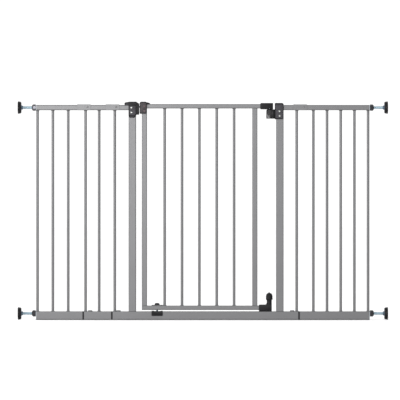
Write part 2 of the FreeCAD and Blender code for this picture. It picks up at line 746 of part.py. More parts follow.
# the top hinge arm, a socket on the rail's end with the pin that turns in the lug
top_arm_outline = [
    ("top_arm_left", "lug_top + arm_gap"), ("top_arm_right", "lug_top + arm_gap"),
    ("top_arm_right", "bracket_top - 2"), ("top_arm_right - 2", "bracket_top"),
    ("top_arm_left + 3", "bracket_top"), ("top_arm_left", "bracket_top - 3")]
top_arm_body = prism("top_arm_body", top_arm_outline, "2 * lug_radius", "1.2",
                     lambda edge: not along("y")(edge))
top_arm_cuts = [
    box("top_arm_socket", ("top_arm_left - 1", "door_rail_right + 2"), half_door,
        ("door_stile_high", "door_top")),
    rod("top_arm_hole", "z", ("hinge_x", 0, "lug_top"), "18.3", "hinge_pin_diameter")]
node(cut("top_arm_cut", top_arm_body, top_arm_cuts), "top_hinge_arm")
top_pin = rod("top_pin", "z", ("hinge_x", 0, "lug_bottom + 8"), "lug_top - lug_bottom + 10.3",
              "hinge_pin_diameter")
node(rounded("top_pin_tapered", top_pin, 0.8, lambda edge: edge.Curve.TypeId == "Part::GeomCircle",
             "Part::Chamfer"), "top_hinge_pin")

# the bottom hinge arm: a socket for the rail and a tower that slides on the hexagonal bush
arm_block = box("arm_block", ("arm_left", "hinge_x + tower_radius"),
                ("-arm_depth / 2", "arm_depth / 2"), ("arm_bottom", "arm_top"))
arm_block = rounded("arm_block_rounded", arm_block, 2, along("z"))
arm_tower = rod("arm_tower", "z", ("hinge_x", 0, "arm_bottom"), "tower_top - arm_bottom",
                "2 * tower_radius")
arm_solid = joined("arm_solid", [arm_block, arm_tower])
arm_cuts = [
    box("arm_socket", ("arm_left - 1", "door_rail_right"), half_door,
        ("door_bottom", "door_stile_low")),
    hexagonal("arm_hex_socket", "socket_flats", "rail_height", "tower_top + 1")]
node(cut("bottom_arm_cut", arm_solid, arm_cuts), "bottom_hinge_arm")

cap_inside = "(tower_radius - 0.2)"
cap_outline = [
    (cap_inside, "tower_top"), ("cap_radius - 1.6", "tower_top"),
    ("cap_radius", "tower_top + 3"), ("cap_radius - 0.8", "tower_top + 7"),
    ("cap_radius - 1.6", "cap_top - 8"), ("cap_radius - 4.6", "cap_top - 3.5"),
    ("3", "cap_top - 1"), ("0", "cap_top"), ("0", "cap_top - cap_wall - 0.4"),
    ("%s - 3.2" % cap_inside, "cap_top - cap_wall - 3.4"),
    ("%s - 0.6" % cap_inside, "cap_top - cap_wall - 8"), (cap_inside, "tower_top + 3")]
hinge_cap = turned("hinge_cap_turned", cap_outline, upright=True)
place(hinge_cap, "hinge_x")
node(hinge_cap, "hinge_cap")


def coil(key, x, z, lying=False):
    """A round-wire coil spring that stands at (x, z), or lies along +X from there."""
    helix = doc.addObject("Part::Helix", key + "_helix")
    bind(helix, Pitch=key + "_pitch", Height=key + "_length", Radius=key + "_radius")
    section = doc.addObject("Part::Circle", key + "_section")
    bind(section, Radius=key + "_wire / 2")
    section.Placement.Rotation = FreeCAD.Rotation(FreeCAD.Vector(1, 0, 0), 90)
    place(section, key + "_radius")
    spring = doc.addObject("Part::Sweep", key + "_sweep")
    spring.Sections = [section]
    spring.Spine = (helix, [])
    spring.Solid = True
    spring.Frenet = True
    if lying:
        turn_to(spring, FreeCAD.Vector(0, 1, 0), 90)
    place(spring, x, 0, z)
    return spring


node(coil("hinge_coil", "hinge_x", "bush_top + 0.8"), "hinge_spring")

# the lock pin through the bottom rail, with its knob and plate
lock_pin = rod("lock_rod", "z", ("lock_x", 0, "lock_pin_bottom"), "lock_pin_length",
               "lock_pin_diameter")
node(rounded("lock_rod_tapered", lock_pin, 1, lambda edge: edge.Curve.TypeId == "Part::GeomCircle",
             "Part::Chamfer"), "lock_pin")
plate = box("pin_plate", ("lock_x - pin_plate_half_length", "lock_x + pin_plate_half_length"),
            ("-pin_plate_width / 2", "pin_plate_width / 2"),
            ("door_stile_low", "door_stile_low + pin_plate_thickness"))
plate = rounded("pin_plate_rounded", plate, 5, along("z"))
plate_hole = rod("pin_plate_hole", "z", ("lock_x", 0, "door_stile_low - 1"),
                 "pin_plate_thickness + 2", "lock_pin_diameter")
node(cut("pin_plate_drilled", plate, [plate_hole]), "lock_pin_plate")
knob_low = "(door_stile_low + pin_plate_thickness)"
knob_outline = [
    ("lock_pin_diameter / 2", knob_low), ("knob_radius", knob_low),
    ("knob_radius - 0.4", "%s + 2.6" % knob_low), ("knob_radius - 2", "%s + 4.9" % knob_low),
    ("knob_radius / 2", "%s + knob_height - 0.6" % knob_low),
    ("0", "%s + knob_height" % knob_low), ("0", "lock_pin_bottom + lock_pin_length"),
    ("lock_pin_diameter / 2", "lock_pin_bottom + lock_pin_length")]
knob = turned("knob_turned", knob_outline, upright=True)
place(knob, "lock_x")
node(knob, "lock_pin_knob")

# --- the latch slide ----------------------------------------------------------------------

door_rail_mid = "(door_top - door_rail_height / 2)"
bolt_low = "%s - bolt_height / 2" % door_rail_mid
bolt_body = box("bolt_body", ("handle_left + 9", "bolt_back"), ("-bolt_width / 2", "bolt_width / 2"),
                (bolt_low, "%s + bolt_height / 2" % door_rail_mid))
tongue = box("bolt_tongue", ("tongue_tip", "handle_left + 10"),
             ("-tongue_width / 2", "tongue_width / 2"),
             ("tongue_bottom", "tongue_bottom + tongue_height"))
tongue = rounded("bolt_tongue_led", tongue, 1.5,
                 lambda edge: along("z")(edge) and edge.Vertexes[0].X < number("tongue_tip") + 1,
                 "Part::Chamfer")
node(joined("bolt_joined", [bolt_body, tongue]), "latch_bolt")

slide_outline = [
    ("slide_left", "door_top + 0.3"), ("slide_right - 5.6", "door_top + 0.3"),
    ("slide_right", "door_top + 1.8"), ("slide_right", "door_top + 3.6"),
    ("slide_right - 6.6", "slide_top"), ("slide_left", "slide_top")]
slide_plate = prism("slide_plate", slide_outline, "slide_width")
slide_stem = box("slide_stem", ("stem_left", "stem_right"), ("-2.7", "2.7"),
                 ("%s + bolt_height / 2" % door_rail_mid, "door_top + 1"))
node(joined("slide_joined", [slide_plate, slide_stem]), "thumb_slide")

node(coil("latch_coil", "bolt_back + 0.6", door_rail_mid, lying=True), "latch_spring")
seat_left = "(bolt_back + latch_coil_length + 1.3)"
node(box("seat_block", (seat_left, "%s + seat_length" % seat_left),
         ("-seat_width / 2", "seat_width / 2"),
         ("door_stile_high + tube_wall + 0.2", "door_top - tube_wall - 0.2")), "spring_seat")

# --- check and write -----------------------------------------------------------------------

doc.recompute()
failed = [thing.Label for thing in doc.Objects
          if "Invalid" in thing.State or "Error" in thing.State]
failed += [thing.Label for thing in nodes if thing.Shape.isNull() or not thing.Shape.isValid()]
if failed:
    raise RuntimeError("these objects failed: " + ", ".join(failed))

os.makedirs("parts", exist_ok=True)
for thing in nodes:
    thing.Shape.exportStep("parts/%s.step" % thing.Label)
print("%d sub-parts written" % len(nodes))
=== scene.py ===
# %% [markdown]
# # A safety gate, dressed for its picture
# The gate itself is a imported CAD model: tubes, hinges, a latch and four wall supports, all of
# them true to size. This lesson loads it, gives every part its finish, and builds by mesh code
# the moulded and threaded pieces whose surfaces are richer than a CAD solid. All measures are
# in metres, in the CAD model's own frame: X runs along the gate, -Y is the front, Z is up.

# %% load the frame
import bpy
import bmesh
import json
import math
from mathutils import Matrix, Vector


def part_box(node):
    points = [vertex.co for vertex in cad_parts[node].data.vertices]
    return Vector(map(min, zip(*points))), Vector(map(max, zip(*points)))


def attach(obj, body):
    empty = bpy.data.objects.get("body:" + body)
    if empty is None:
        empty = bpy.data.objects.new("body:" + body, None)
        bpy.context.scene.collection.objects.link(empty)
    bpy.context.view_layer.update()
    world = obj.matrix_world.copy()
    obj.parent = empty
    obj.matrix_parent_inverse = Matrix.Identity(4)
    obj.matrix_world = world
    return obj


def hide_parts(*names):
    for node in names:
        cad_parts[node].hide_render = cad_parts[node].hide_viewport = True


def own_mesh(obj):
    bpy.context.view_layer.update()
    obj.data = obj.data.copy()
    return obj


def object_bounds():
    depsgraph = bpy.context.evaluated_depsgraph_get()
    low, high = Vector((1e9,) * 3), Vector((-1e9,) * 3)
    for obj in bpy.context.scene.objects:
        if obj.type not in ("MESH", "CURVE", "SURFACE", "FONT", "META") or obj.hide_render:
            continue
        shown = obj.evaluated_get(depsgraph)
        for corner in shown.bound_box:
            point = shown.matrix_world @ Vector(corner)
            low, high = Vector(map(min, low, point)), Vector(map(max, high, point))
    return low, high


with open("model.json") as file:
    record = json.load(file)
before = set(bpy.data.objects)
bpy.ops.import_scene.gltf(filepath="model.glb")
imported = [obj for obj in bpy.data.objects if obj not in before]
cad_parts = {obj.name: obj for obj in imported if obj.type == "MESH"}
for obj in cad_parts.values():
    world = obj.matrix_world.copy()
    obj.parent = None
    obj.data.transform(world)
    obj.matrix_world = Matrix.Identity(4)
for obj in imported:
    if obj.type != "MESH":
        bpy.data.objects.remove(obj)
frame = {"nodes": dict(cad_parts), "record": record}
nodes = frame["nodes"]
cad_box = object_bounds()
MM = 0.001

# %% [markdown]
# ## Camera
# A gate is sold on one picture: straight from the front, from far enough away that the bars
# stay parallel. A wide-angle camera close by would splay them, so the lens is long and the
# camera stands back. It looks level at the middle of the gate.

# %% camera
low, high = Vector(cad_box[0]), Vector(cad_box[1])
middle = (low + high) / 2
VIEW_WIDTH = 1.383
VIEW_CENTRE = Vector((middle.x - 0.0099, 0, middle.z + 0.0365))
CAMERA_DISTANCE = 12.0
camera_data = bpy.data.cameras.new("camera")
camera_data.sensor_width = 36
camera_data.lens = camera_data.sensor_width * CAMERA_DISTANCE / VIEW_WIDTH
camera = bpy.data.objects.new("camera", camera_data)
camera.location = VIEW_CENTRE + Vector((0, -CAMERA_DISTANCE, 0))
camera.rotation_euler = (math.radians(90), 0, 0)
bpy.context.scene.collection.objects.link(camera)
bpy.context.scene.camera = camera
print("lens", round(camera_data.lens, 1), "mm")

# %% [markdown]
# ## Floor and light
# The floor is a plain white sheet. The world gives an even white light from all round, as a
# light tent does, a little over full white, so that the sheet has no visible end. Two
# soft lamps add the direction: a strong one in front gives moulded parts their highlight, and
# one from the left gives a round bar a lit flank and a darker one. The plain colour transform
# keeps white white.

# %% floor and light
def principled(name):
    material = bpy.data.materials.new(name)
    material.use_nodes = True
    tree = material.node_tree
    return material, tree, tree.nodes["Principled BSDF"]


floor_material, _, floor_shader = principled("paper_floor")
floor_shader.inputs["Base Color"].default_value = (0.96, 0.96, 0.96, 1)
floor_shader.inputs["Roughness"].default_value = 0.9
FLOOR_HALF = 40.0
FLOOR_Z = -0.0005
floor_mesh = bpy.data.meshes.new("floor")
floor_mesh.from_pydata([(x * FLOOR_HALF, y * FLOOR_HALF, FLOOR_Z)
                        for x, y in ((-1, -1), (1, -1), (1, 1), (-1, 1))], [], [(0, 1, 2, 3)])
floor_mesh.materials.append(floor_material)
floor = bpy.data.objects.new("floor", floor_mesh)
bpy.context.scene.collection.objects.link(floor)

world = bpy.data.worlds.new("tent")
bpy.context.scene.world = world
world.use_nodes = True
world.node_tree.nodes["Background"].inputs["Color"].default_value = (1, 1, 1, 1)
world.node_tree.nodes["Background"].inputs["Strength"].default_value = 1.1
bpy.context.scene.view_settings.view_transform = "Standard"


def lamp(name, place, aim, size, watts):
    data = bpy.data.lights.new(name, "AREA")
    data.size = size
    data.energy = watts
    light = bpy.data.objects.new(name, data)
    light.location = place
    light.rotation_euler = (Vector(aim) - Vector(place)).to_track_quat("-Z", "Y").to_euler()
    bpy.context.scene.collection.objects.link(light)
    return light


lamp("front", (-0.85, -5.0, 1.1), (0, 0, 0.4), 0.9, 80)
lamp("left", (-3.6, -2.0, 1.2), (0, 0, 0.4), 1.2, 60)
print("floor, tent and lamps")

# %% [markdown]
# ## Finishes
# Every finish is a small tree of nodes that reads object coordinates, so it has its true scale
# on any piece. A noise gives the slow change of tone, a second and finer one the bump. The
# helper below wires the two, and each finish only states its numbers.

# %% a helper for finishes
def finish(name, colour, rough, metallic=0.0, spread=0.06, tone_scale=14.0, bump_scale=900.0,
           bump_depth=0.0001, rough_spread=0.08, stretch=(1, 1, 1)):
    """A finish: a colour that drifts a little, and a fine bump of bump_scale grains per metre."""
    material, tree, shader = principled(name)
    add, link = tree.nodes.new, tree.links.new
    place = add("ShaderNodeTexCoord")
    mapping = add("ShaderNodeMapping")
    mapping.inputs["Scale"].default_value = stretch
    link(place.outputs["Object"], mapping.inputs["Vector"])
    tone = add("ShaderNodeTexNoise")
    tone.inputs["Scale"].default_value = tone_scale
    tone.inputs["Detail"].default_value = 4
    link(mapping.outputs["Vector"], tone.inputs["Vector"])
    ramp = add("ShaderNodeValToRGB")
    dark, light = ramp.color_ramp.elements
    dark.position, light.position = 0.3, 0.7
    dark.color = [c * (1 - spread) for c in colour] + [1]
    light.color = [min(1, c * (1 + spread)) for c in colour] + [1]
    link(tone.outputs["Fac"], ramp.inputs["Fac"])
    link(ramp.outputs["Color"], shader.inputs["Base Color"])
    grain = add("ShaderNodeTexNoise")
    grain.inputs["Scale"].default_value = bump_scale
    grain.inputs["Detail"].default_value = 3
    link(mapping.outputs["Vector"], grain.inputs["Vector"])
    rough_range = add("ShaderNodeMapRange")
    rough_range.inputs["To Min"].default_value = rough - rough_spread
    rough_range.inputs["To Max"].default_value = rough + rough_spread
    link(grain.outputs["Fac"], rough_range.inputs["Value"])
    link(rough_range.outputs["Result"], shader.inputs["Roughness"])
    bump = add("ShaderNodeBump")
    bump.inputs["Distance"].default_value = bump_depth
    bump.inputs["Strength"].default_value = 0.6
    link(grain.outputs["Fac"], bump.inputs["Height"])
    link(bump.outputs["Normal"], shader.inputs["Normal"])
    shader.inputs["Metallic"].default_value = metallic
    return material


# %% [markdown]
# The tubes are steel with a silver-grey powder coat. Powder melts into a skin with the faint
# waves of orange peel, a few to the centimetre, and a fleck of aluminium gives it a soft metal
# sheen without mirror reflections. So the finish is a third metallic, satin, and hardly bumped.

# %% powder coat
powder_coat = finish("silver_powder_coat", (0.122, 0.122, 0.126), 0.42, metallic=0.35,
                     spread=0.035, tone_scale=9, bump_scale=420, bump_depth=0.00012)
powder_shader = powder_coat.node_tree.nodes["Principled BSDF"]
powder_shader.inputs["Coat Weight"].default_value = 0.12
powder_shader.inputs["Coat Roughness"].default_value = 0.25

# %% [markdown]
# The latch, hinges and cups are moulded in black nylon. Moulds for such parts are spark-eroded,
# which leaves an even leather-like grain of about a third of a millimetre. Nylon reflects less
# than most plastics, so its specular level is low and its black stays deep. The flat front
# panels get lighter grey and warm copies of it: painted light on the lit front faces. Screws and
# springs are plated wire and steel.

# %% plastics and small metals
black_nylon = finish("black_nylon", (0.0065, 0.0062, 0.0072), 0.36, spread=0.25, tone_scale=60,
                     bump_scale=2600, bump_depth=0.00010, rough_spread=0.08)
# painted light: lighter copies of the black nylon, for the front panels that face the lamps
lit_face_nylon = finish("lit_face_nylon", (0.040, 0.038, 0.043), 0.46, spread=0.30, tone_scale=110,
                    bump_scale=2600, bump_depth=0.00010, rough_spread=0.08)
lit_warm_face_nylon = finish("lit_warm_face_nylon", (0.046, 0.041, 0.043), 0.46, spread=0.25, tone_scale=110,
                    bump_scale=2600, bump_depth=0.00010, rough_spread=0.08)
for nylon in (black_nylon, lit_face_nylon, lit_warm_face_nylon):
    nylon.node_tree.nodes["Principled BSDF"].inputs["Specular IOR Level"].default_value = 0.13
black_rubber = finish("black_rubber", (0.018, 0.018, 0.019), 0.72, spread=0.25, tone_scale=40,
                      bump_scale=1500, bump_depth=0.00014)
worn_nylon = finish("worn_nylon", (0.012, 0.011, 0.012), 0.17, spread=0.2, tone_scale=60,
                    bump_scale=2600, bump_depth=0.00005, rough_spread=0.04)
blue_zinc = finish("blue_zinc", (0.36, 0.46, 0.52), 0.38, metallic=0.9, spread=0.10,
                   tone_scale=60, bump_scale=1800, bump_depth=0.00004, rough_spread=0.06)
bright_zinc = finish("bright_zinc", (0.44, 0.45, 0.43), 0.30, metallic=0.95, spread=0.08,
                     tone_scale=90, bump_scale=2200, bump_depth=0.00003, rough_spread=0.05)
black_zinc = finish("black_zinc", (0.030, 0.030, 0.034), 0.20, metallic=0.9, spread=0.2,
                    tone_scale=90, bump_scale=2200, bump_depth=0.00002, rough_spread=0.05)
slate_zinc = finish("slate_zinc", (0.075, 0.105, 0.140), 0.42, metallic=0.7, spread=0.15,
                    tone_scale=60, bump_scale=1800, bump_depth=0.00004)
dull_zinc = finish("dull_zinc", (0.115, 0.080, 0.086), 0.42, metallic=0.5, spread=0.2,
                   tone_scale=90, bump_scale=2200, bump_depth=0.00003)
# a darker grey: the lock plate's own colour, and painted shade on the upper weld collars
dark_grey_and_weld_shade = finish("dark_grey_and_weld_shade", (0.085, 0.085, 0.088), 0.50, metallic=0.2, spread=0.2,
                   tone_scale=160, bump_scale=900, bump_depth=0.00015)
spring_wire = finish("spring_wire", (0.36, 0.37, 0.39), 0.32, metallic=0.9, spread=0.1,
                     tone_scale=120, bump_scale=3000, bump_depth=0.00003)
acetal = finish("pale_acetal", (0.34, 0.37, 0.40), 0.45, spread=0.04, tone_scale=30,
                bump_scale=2000, bump_depth=0.00004)
FINISH = {"grey_steel": powder_coat, "dark_plastic": black_nylon, "zinc_steel": blue_zinc,
          "black_rubber": black_rubber, "spring_steel": spring_wire, "black_steel": black_zinc,
          "pale_bush": acetal}
print(len(FINISH), "finishes")

# %% [markdown]
# The CAD nodes keep their meshes. Each is given the finish of the slot that its record names,
# by putting the material in the object's own slot. Nodes that a later piece stands for are
# painted as well, which costs nothing and leaves none plain.

# %% paint the CAD nodes
def paint(thing, material):
    if not thing.data.materials:
        thing.data.materials.append(material)
    for material_slot in thing.material_slots:
        material_slot.material = material


slot_of = {part["node"]: part["material_slot"] for part in frame["record"]["subparts"]}
for node_name, thing in nodes.items():
    paint(thing, FINISH[slot_of[node_name]])
body_of = {member: body for body, members in frame["record"]["behaviour"]["bodies"].items()
           for member in members}
print(len(slot_of), "nodes painted")

# %% [markdown]
# ## Helpers for meshes
# Most pieces are one of two things: a profile turned about an axis, or a flat outline with
# rounded corners that has been given thickness. `turned` and `slab` make those. `settle` bakes
# the modifiers of a piece into its mesh, and `stand_for` puts it in place of a CAD node: it rides
# on the body of the node that it replaces, takes that node's finish if it has no material of its
# own, and the node is hidden.

# %% helpers: bake, shade and hand over
def new_object(name, bm):
    bmesh.ops.recalc_face_normals(bm, faces=bm.faces)
    mesh = bpy.data.meshes.new(name)
    bm.to_mesh(mesh)
    bm.free()
    thing = bpy.data.objects.new(name, mesh)
    bpy.context.scene.collection.objects.link(thing)
    return thing


def settle(thing):
    """The piece's modifiers become its mesh."""
    bpy.context.view_layer.update()
    shaped = thing.evaluated_get(bpy.context.evaluated_depsgraph_get())
    mesh = bpy.data.meshes.new_from_object(shaped)
    thing.modifiers.clear()
    thing.data = mesh
    return thing


def smooth(thing, degrees=35):
    for face in thing.data.polygons:
        face.use_smooth = True
    thing.data.set_sharp_from_angle(angle=math.radians(degrees))
    return thing


def bevel(thing, width, segments=3, degrees=30):
    edge = thing.modifiers.new("bevel", "BEVEL")
    edge.width = width
    edge.segments = segments
    edge.limit_method = "ANGLE"
    edge.angle_limit = math.radians(degrees)
    edge.use_clamp_overlap = True
    return settle(thing)


def carve(thing, *tools):
    """Cuts the tools out of the piece and removes them."""
    for tool in tools:
        cutter = thing.modifiers.new("cut", "BOOLEAN")
        cutter.operation = "DIFFERENCE"
        cutter.solver = "EXACT"
        cutter.object = tool
        settle(thing)
        bpy.data.objects.remove(tool)
    return thing


def merge(name, things, materials=()):
    """Several meshes as one piece; materials gives one for each of them, or none for all."""
    bm = bmesh.new()
    kinds = list(dict.fromkeys(materials))
    for index, thing in enumerate(things):
        first = len(bm.faces)
        bm.from_mesh(thing.data)
        bpy.data.objects.remove(thing)
        bm.faces.ensure_lookup_table()
        for face in bm.faces[first:]:
            face.material_index = kinds.index(materials[index]) if kinds else 0
    mesh = bpy.data.meshes.new(name)
    bm.to_mesh(mesh)
    bm.free()
    for material in kinds:
        mesh.materials.append(material)
    piece = bpy.data.objects.new(name, mesh)
    bpy.context.scene.collection.objects.link(piece)
    return piece


def dress(thing, body, slot, material=None):
    """The piece rides on a body and, if it has no material yet, takes the finish of the slot."""
    if not thing.data.materials:
        paint(thing, material or FINISH[slot])
    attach(thing, body)
    return thing


def stand_for(thing, node_name, material=None):
    dress(thing, body_of[node_name], slot_of[node_name], material)
    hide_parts(node_name)
    return thing


# %% helpers: outlines, slabs, boxes and turned shapes
def rounded(corners, steps=6):
    """Corners are (x, z, radius) in millimetres. Each becomes an arc that meets its sides."""
    points = []
    for index, (x, z, radius) in enumerate(corners):
        corner = Vector((x, z))
        before = Vector(corners[index - 1][:2]) - corner
        after = Vector(corners[(index + 1) % len(corners)][:2]) - corner
        if radius == 0:
            points.append(corner * MM)
            continue
        half = before.angle(after) / 2
        reach = min(radius / math.tan(half), 0.49 * before.length, 0.49 * after.length)
        arc_radius = reach * math.tan(half)
        centre = corner + (before.normalized() + after.normalized()).normalized() * (
            arc_radius / math.sin(half))
        start = corner + before.normalized() * reach - centre
        end = corner + after.normalized() * reach - centre
        sweep = start.angle_signed(end)
        for step in range(steps + 1):
            turn = Matrix.Rotation(-sweep * step / steps, 2)
            points.append((centre + turn @ start) * MM)
    return points


def slab(name, outline, front, back, edge=0.0, segments=3):
    """A flat outline in the XZ plane from Y = front to Y = back (mm), its rims rounded."""
    bm = bmesh.new()
    face = bm.faces.new([bm.verts.new((p.x, front * MM, p.y)) for p in outline])
    grown = bmesh.ops.extrude_face_region(bm, geom=[face])
    moved = [v for v in grown["geom"] if isinstance(v, bmesh.types.BMVert)]
    bmesh.ops.translate(bm, verts=moved, vec=(0, (back - front) * MM, 0))
    thing = new_object(name, bm)
    if edge:
        bevel(thing, edge * MM, segments, 50)
    return thing


def block(name, x, y, z):
    """A plain box in millimetres: a tool for carving, or a blank."""
    return slab(name, [Vector((x[0], z[0])) * MM, Vector((x[1], z[0])) * MM,
                       Vector((x[1], z[1])) * MM, Vector((x[0], z[1])) * MM], y[0], y[1])


def turned(name, profile, centre, axis="z", steps=48, closed=True):
    """A profile of (radius, distance) points in millimetres, turned about an axis."""
    bm = bmesh.new()
    rings = []
    for radius, along in profile:
        if radius == 0:
            rings.append([bm.verts.new((0, 0, along * MM))])
            continue
        angles = [2 * math.pi * k / steps for k in range(steps)]
        rings.append([bm.verts.new((radius * MM * math.cos(a), radius * MM * math.sin(a),
                                    along * MM)) for a in angles])
    pairs = list(zip(rings, rings[1:])) + ([(rings[-1], rings[0])] if closed else [])
    for ring, following in pairs:
        for k in range(steps):
            ends = (k, (k + 1) % steps)
            loop = [ring[ends[0] % len(ring)], ring[ends[1] % len(ring)],
                    following[ends[1] % len(following)], following[ends[0] % len(following)]]
            unique = list(dict.fromkeys(loop))
            if len(unique) > 2:
                bm.faces.new(unique)
    turns = {"x": Matrix.Rotation(math.radians(90), 4, "Y"),
             "-x": Matrix.Rotation(math.radians(-90), 4, "Y"),
             "-y": Matrix.Rotation(math.radians(90), 4, "X"), "z": Matrix.Identity(4)}
    bmesh.ops.transform(bm, matrix=Matrix.Translation(Vector(centre) * MM) @ turns[axis],
                        verts=bm.verts)
    return new_object(name, bm)


def arc(centre, radius, start, end, steps=8):
    """Points of a round stretch of a profile, by angle in degrees."""
    return [(centre[0] + radius * math.cos(math.radians(a)),
             centre[1] + radius * math.sin(math.radians(a)))
            for a in (start + (end - start) * k / steps for k in range(steps + 1))]


def span(node_name):
    """A CAD node's lowest and highest corner in millimetres."""
    lowest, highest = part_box(node_name)
    return lowest / MM, highest / MM


print("helpers ready")

# %% [markdown]
# ## Wall supports
# Each corner of the gate is pressed to the wall by a zinc-plated M10 rod. Its thread is what
# the eye finds first, so it is real geometry: a ring of points is swept along the rod while its
# phase turns once per pitch, which draws a true helix. All four are right-handed, so on the two
# sides of the gate the phase turns opposite ways. The cut is shallow, and a mesh of thin rings
# carries it better than a bump would.

# %% threaded rods
PITCH = 1.5
THREAD_DEPTH = 0.75
ROD_RADIUS = 5.0
RING_STEPS = 28
RINGS_PER_PITCH = 6


def threaded_rod(name, node_name, side):
    """A rod along X whose radius follows the thread; side is -1 on the left."""
    lowest, highest = span(node_name)
    start, end = (highest.x, lowest.x) if side < 0 else (lowest.x, highest.x)
    axis_z = (lowest.z + highest.z) / 2
    ring_count = int(abs(end - start) / PITCH * RINGS_PER_PITCH)
    bm = bmesh.new()
    rings = []
    for k in range(ring_count + 1):
        x = start + (end - start) * k / ring_count
        plain = min(1.0, k / (2 * RINGS_PER_PITCH), (ring_count - k) / RINGS_PER_PITCH)
        ring = []
        for j in range(RING_STEPS):
            angle = 2 * math.pi * j / RING_STEPS
            phase = (k / RINGS_PER_PITCH - side * j / RING_STEPS) % 1
            groove = max(0.0, 1 - abs(2 * phase - 1) - 0.12) * THREAD_DEPTH * plain
            radius = ROD_RADIUS - groove - 0.5 * (1 - plain)
            ring.append(bm.verts.new((x * MM, radius * math.cos(angle) * MM,
                                      (axis_z + radius * math.sin(angle)) * MM)))
        rings.append(ring)
    for ring, following in zip(rings, rings[1:]):
        for j in range(RING_STEPS):
            j2 = (j + 1) % RING_STEPS
            bm.faces.new((ring[j], ring[j2], following[j2], following[j]))
    bm.faces.new(rings[0])
    bm.faces.new(rings[-1][::-1])
    rod = smooth(new_object(name, bm), 60)
    return stand_for(rod, node_name)


CORNERS = [(level, side, sign) for level in ("top", "bottom")
           for side, sign in (("left", -1), ("right", 1))]
for level, side, sign in CORNERS:
    rod = threaded_rod("%s_%s_threaded_rod" % (level, side), "%s_%s_spindle" % (level, side), sign)
print("rod faces", len(rod.data.polygons))

# %% [markdown]
# The rod ends in a pad that rests in the wall cup. The cup is a shallow black dish with a
# rounded rim; it is screwed or taped to the wall. On the rod's side the pad has a pressed metal
# flare, which shows as a dark blue-grey cone. Both are turned, with arcs for the rims.

# %% feet and cups
def support_end(level, side, sign):
    key = "%s_%s" % (level, side)
    lowest, highest = span(key + "_wall_cup")
    wall = (lowest.x if sign < 0 else highest.x)
    centre = (wall, 0, (lowest.z + highest.z) / 2)
    axis = "-x" if sign < 0 else "x"
    cup = [(2.3, 0), (20.4, 0), (21.2, -0.4), (21.5, -1.2), (21.4, -4.0), (20.7, -8.0),
           (19.9, -10.6), (19.2, -11.6), (18.2, -12.0), (15.9, -12.0), (15.1, -11.5),
           (14.8, -10.6), (14.8, -3.0), (2.3, -3.0)]
    dish = smooth(turned(key + "_dish", cup, centre, axis, 64), 40)
    stand_for(dish, key + "_wall_cup")
    flare = [(5.0, -17.4), (6.1, -17.4), (6.4, -16.9), (6.8, -15.4), (7.8, -13.6), (9.2, -12.4),
             (11.0, -11.9), (13.6, -11.6), (14.2, -11.2), (14.5, -10.4), (14.5, -3.0),
             (5.0, -3.0), (5.0, -5.0), (0, -5.0), (0, -8.6), (5.0, -8.6)]
    foot = smooth(turned(key + "_foot", flare, centre, axis, 48), 40)
    foot.data.materials.append(black_rubber)
    foot.data.materials.append(slate_zinc)
    for face in foot.data.polygons:
        face.material_index = 1 if abs(face.center.x) < (abs(wall) - 11.3) * MM else 0
    stand_for(foot, key + "_spindle_foot")


for level, side, sign in CORNERS:
    support_end(level, side, sign)
print("four cups and feet")

# %% [markdown]
# The adjuster nuts are hexagons of blackened steel, turned down at the outer end. At each station
# along the nut the radius is the smaller of two: the hexagon's, which grows towards its corners,
# and the lathe's, which wins at the chamfers. The flats are smooth enough to mirror a lamp.

# %% adjuster nuts
ACROSS_FLATS = 19.0
NUT_STEPS = 72


def adjuster_nut(level, side, sign):
    key = "%s_%s" % (level, side)
    lowest, highest = span(key + "_adjuster_nut")
    length = highest.x - lowest.x
    centre_x = (lowest.x + highest.x) / 2
    axis_z = (lowest.z + highest.z) / 2
    corner = ACROSS_FLATS / 2 / math.cos(math.radians(30))
    half = length / 2
    bore = ROD_RADIUS + 0.15
    lathe = [(-half, bore), (-half, 8.9), (-half + 0.9, corner * 0.985), (-half + 1.6, corner + 0.1),
             (half - 3.0, corner + 0.1), (half - 1.9, 9.5), (half - 0.9, 8.7), (half - 0.3, 8.2),
             (half, 7.7), (half, bore)]
    bm = bmesh.new()
    rings = []
    for along, limit in lathe:
        ring = []
        for j in range(NUT_STEPS):
            angle = 2 * math.pi * j / NUT_STEPS
            off_flat = (angle + math.pi / 6) % (math.pi / 3) - math.pi / 6
            radius = min(limit, ACROSS_FLATS / 2 / math.cos(off_flat))
            ring.append(bm.verts.new(((centre_x + sign * along) * MM, -radius * math.cos(angle) * MM,
                                      (axis_z + radius * math.sin(angle)) * MM)))
        rings.append(ring)
    for ring, following in zip(rings, rings[1:] + rings[:1]):
        for j in range(NUT_STEPS):
            bm.faces.new((ring[j], ring[(j + 1) % NUT_STEPS],
                          following[(j + 1) % NUT_STEPS], following[j]))
    nut = smooth(new_object(key + "_hexagon", bm), 20)
    stand_for(nut, key + "_adjuster_nut")
    return nut


for level, side, sign in CORNERS:
    nut = adjuster_nut(level, side, sign)
print("nut faces", len(nut.data.polygons))

# %% [markdown]
# ## Screws
# The screws are pan heads with a cross recess. A head is a turned dome, and the recess is cut
# by two tapering wedges, so it is a real hollow that catches a shadow. One helper makes a head
# at any place, and the heads of one CAD node are merged, because that node is one group.

